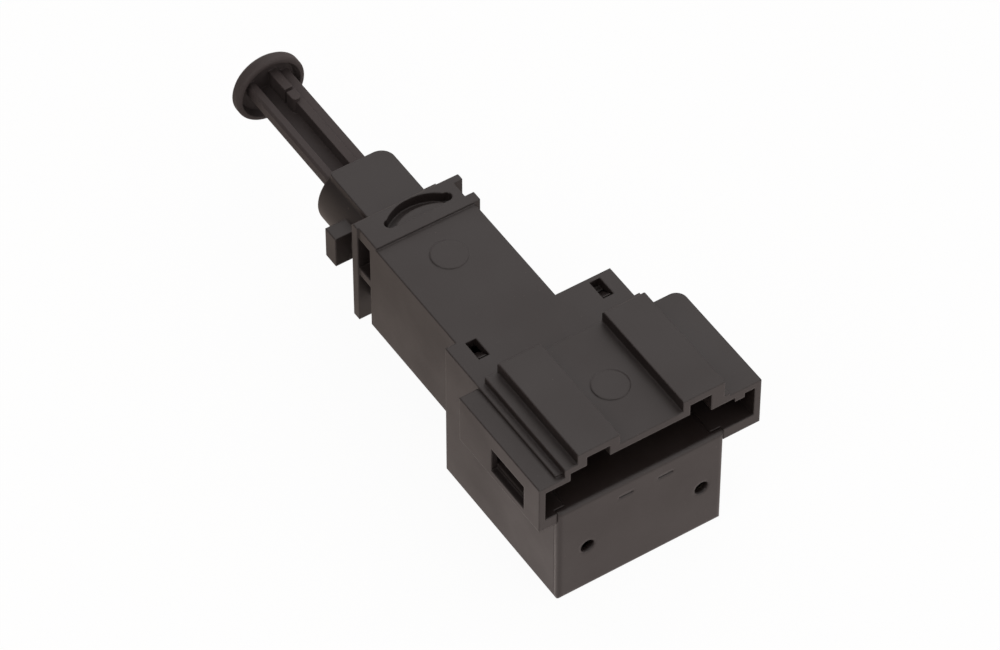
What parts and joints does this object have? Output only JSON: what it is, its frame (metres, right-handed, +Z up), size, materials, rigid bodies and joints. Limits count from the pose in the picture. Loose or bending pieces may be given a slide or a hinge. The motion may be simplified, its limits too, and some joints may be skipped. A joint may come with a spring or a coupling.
{
  "type": "brake light switch",
  "caption": "Pedal switch with a mushroom-headed plunger, bayonet neck, square body and wide flat plug-in socket over a closed contact block.",
  "frame": {"origin": "on the plunger's axis, in the plane of the flange face that seats on the pedal bracket", "axes": "+X along the plunger's axis towards the socket, +Z up out of the socket's stepped top, +Y to the socket's wider side"},
  "size_m": [0.0822, 0.032, 0.025],
  "materials": {
    "housing_plastic": "fine satin moulded",
    "cover_plastic": "fine satin moulded",
    "carrier_plastic": "fine satin moulded",
    "plunger_plastic": "fine satin moulded",
    "slider_plastic": "natural moulded",
    "terminal_brass": "tinned",
    "bridge_copper": "rolled",
    "contact_silver": "satin",
    "spring_steel": "drawn wire"
  },
  "bodies": {
    "root": {"housing": "housing_plastic", "end_cover": "cover_plastic", "terminal_carrier": "carrier_plastic", "terminal_1": "terminal_brass", "terminal_2": "terminal_brass", "terminal_3": "terminal_brass", "terminal_4": "terminal_brass", "closed_contact_tip_1": "contact_silver", "closed_contact_tip_2": "contact_silver", "open_contact_tip_1": "contact_silver", "open_contact_tip_2": "contact_silver", "return_spring": "spring_steel"},
    "slider": {"slider": "slider_plastic", "contact_spring_closed": "spring_steel", "contact_spring_open": "spring_steel"},
    "plunger": {"plunger": "plunger_plastic"},
    "bridge_closed": {"bridge_closed": "bridge_copper", "bridge_closed_tip_1": "contact_silver", "bridge_closed_tip_2": "contact_silver"},
    "bridge_open": {"bridge_open": "bridge_copper", "bridge_open_tip_1": "contact_silver", "bridge_open_tip_2": "contact_silver"}
  },
  "joints": [
    {"name": "slider_travel", "type": "slide", "parent": "root", "child": "slider", "axis": [1, 0, 0], "range_m": [0, 0.006], "stiffness_N_per_m": 300, "springref_m": -0.004, "deforming": ["return_spring"]},
    {"name": "plunger_ratchet", "type": "slide", "parent": "slider", "child": "plunger", "axis": [1, 0, 0], "range_m": [0, 0.006]},
    {"name": "closed_bridge_lift", "type": "slide", "parent": "slider", "child": "bridge_closed", "axis": [1, 0, 0], "range_m": [0, 0.0008], "stiffness_N_per_m": 400, "springref_m": -0.001, "deforming": ["contact_spring_closed"]},
    {"name": "open_bridge_lift", "type": "slide", "parent": "slider", "child": "bridge_open", "axis": [-1, 0, 0], "range_m": [0, 0.0008], "stiffness_N_per_m": 400, "springref_m": -0.001, "deforming": ["contact_spring_open"]}
  ]
}
